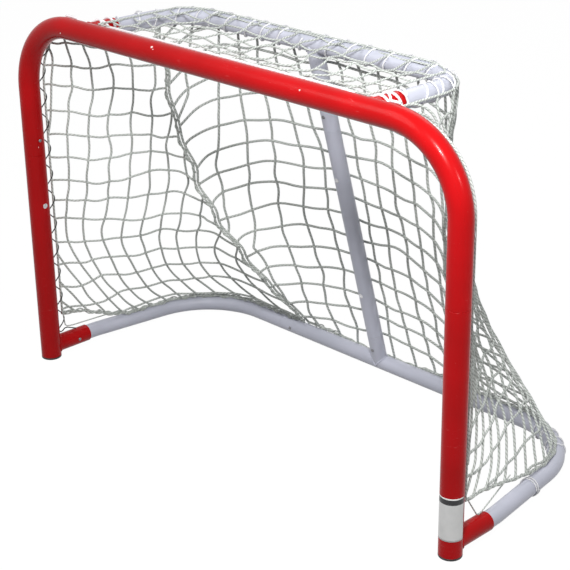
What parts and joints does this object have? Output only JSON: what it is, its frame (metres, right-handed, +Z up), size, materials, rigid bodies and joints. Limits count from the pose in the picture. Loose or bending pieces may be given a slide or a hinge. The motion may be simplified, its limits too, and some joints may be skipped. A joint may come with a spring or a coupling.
{
  "type": "street hockey goal",
  "caption": "Knock-down street hockey goal: round red steel front frame with plug-in white rear frame, leaning brace, snap-button locks and a cord net.",
  "frame": {"origin": "on the floor, at the centre of the goal's footprint", "axes": "+X across the mouth, to the right as seen by a shooter; +Y from the mouth to the back; +Z up"},
  "size_m": [1.372, 0.5781, 0.9139],
  "materials": {
    "red_powder_coat": "glossy powder coat",
    "white_powder_coat": "satin powder coat",
    "plated_steel": "zinc plated",
    "black_cap": "matte moulded",
    "net_cord": "twisted twine",
    "black_lace": "braided cord"
  },
  "bodies": {
    "front_frame": {"crossbar_bow": "red_powder_coat", "left_post": "red_powder_coat", "left_post_coupler": "red_powder_coat", "left_post_rivet": "plated_steel", "left_bow_rivet": "plated_steel", "left_foot_cap": "black_cap", "left_base_sleeve": "red_powder_coat", "left_shelf_sleeve": "red_powder_coat", "left_post_spring": "plated_steel", "left_lacing": "black_lace", "right_post": "red_powder_coat", "right_post_coupler": "red_powder_coat", "right_post_rivet": "plated_steel", "right_bow_rivet": "plated_steel", "right_foot_cap": "black_cap", "right_base_sleeve": "red_powder_coat", "right_shelf_sleeve": "red_powder_coat", "right_post_spring": "plated_steel", "right_lacing": "black_lace"},
    "rear_frame": {"middle_base_rail": "white_powder_coat", "base_tee": "white_powder_coat", "brace": "white_powder_coat", "shelf_tee": "white_powder_coat", "top_rail": "white_powder_coat", "back_net": "net_cord", "top_net": "net_cord", "left_base_rail": "white_powder_coat", "left_base_coupler": "white_powder_coat", "left_side_net": "net_cord", "left_base_spring": "plated_steel", "left_shelf_spring": "plated_steel", "left_rail_spring": "plated_steel", "right_base_rail": "white_powder_coat", "right_base_coupler": "white_powder_coat", "right_side_net": "net_cord", "right_base_spring": "plated_steel", "right_shelf_spring": "plated_steel", "right_rail_spring": "plated_steel", "lower_brace_coupler": "white_powder_coat", "lower_brace_rivet": "plated_steel", "lower_brace_spring": "plated_steel", "upper_brace_coupler": "white_powder_coat", "upper_brace_rivet": "plated_steel", "upper_brace_spring": "plated_steel"},
    "left_post_button": {"left_post_snap_button": "plated_steel"},
    "left_base_button": {"left_base_snap_button": "plated_steel"},
    "left_shelf_button": {"left_shelf_snap_button": "plated_steel"},
    "left_rail_button": {"left_rail_snap_button": "plated_steel"},
    "right_post_button": {"right_post_snap_button": "plated_steel"},
    "right_base_button": {"right_base_snap_button": "plated_steel"},
    "right_shelf_button": {"right_shelf_snap_button": "plated_steel"},
    "right_rail_button": {"right_rail_snap_button": "plated_steel"},
    "lower_brace_button": {"lower_brace_snap_button": "plated_steel"},
    "upper_brace_button": {"upper_brace_snap_button": "plated_steel"}
  },
  "joints": [
    {"name": "rear_frame_slide", "type": "slide", "parent": "front_frame", "child": "rear_frame", "axis": [0, 0.9998, -0.0207], "range_m": [0, 0.065], "deforming": ["left_base_snap_button", "left_shelf_snap_button", "right_base_snap_button", "right_shelf_snap_button", "left_lacing", "right_lacing"]},
    {"name": "left_post_button_press", "type": "slide", "parent": "front_frame", "child": "left_post_button", "axis": [-1, 0, 0], "range_m": [0, 0.0044], "stiffness_N_per_m": 1500, "springref_m": -0.003, "deforming": ["left_post_spring"]},
    {"name": "left_base_button_press", "type": "slide", "parent": "rear_frame", "child": "left_base_button", "axis": [-1, 0, 0], "range_m": [0, 0.005], "stiffness_N_per_m": 1500, "springref_m": -0.003, "deforming": ["left_base_spring"]},
    {"name": "left_shelf_button_press", "type": "slide", "parent": "rear_frame", "child": "left_shelf_button", "axis": [-1, 0, 0], "range_m": [0, 0.005], "stiffness_N_per_m": 1500, "springref_m": -0.003, "deforming": ["left_shelf_spring"]},
    {"name": "left_rail_button_press", "type": "slide", "parent": "rear_frame", "child": "left_rail_button", "axis": [0, 0.9998, -0.0207], "range_m": [0, 0.0042], "stiffness_N_per_m": 1500, "springref_m": -0.003, "deforming": ["left_rail_spring"]},
    {"name": "right_post_button_press", "type": "slide", "parent": "front_frame", "child": "right_post_button", "axis": [1, 0, 0], "range_m": [0, 0.0044], "stiffness_N_per_m": 1500, "springref_m": -0.003, "deforming": ["right_post_spring"]},
    {"name": "right_base_button_press", "type": "slide", "parent": "rear_frame", "child": "right_base_button", "axis": [1, 0, 0], "range_m": [0, 0.005], "stiffness_N_per_m": 1500, "springref_m": -0.003, "deforming": ["right_base_spring"]},
    {"name": "right_shelf_button_press", "type": "slide", "parent": "rear_frame", "child": "right_shelf_button", "axis": [1, 0, 0], "range_m": [0, 0.005], "stiffness_N_per_m": 1500, "springref_m": -0.003, "deforming": ["right_shelf_spring"]},
    {"name": "right_rail_button_press", "type": "slide", "parent": "rear_frame", "child": "right_rail_button", "axis": [0, 0.9998, -0.0207], "range_m": [0, 0.0042], "stiffness_N_per_m": 1500, "springref_m": -0.003, "deforming": ["right_rail_spring"]},
    {"name": "lower_brace_button_press", "type": "slide", "parent": "rear_frame", "child": "lower_brace_button", "axis": [0, 0.9658, 0.2595], "range_m": [0, 0.0042], "stiffness_N_per_m": 1500, "springref_m": -0.003, "deforming": ["lower_brace_spring"]},
    {"name": "upper_brace_button_press", "type": "slide", "parent": "rear_frame", "child": "upper_brace_button", "axis": [0, 0.9658, 0.2595], "range_m": [0, 0.0042], "stiffness_N_per_m": 1500, "springref_m": -0.003, "deforming": ["upper_brace_spring"]}
  ]
}
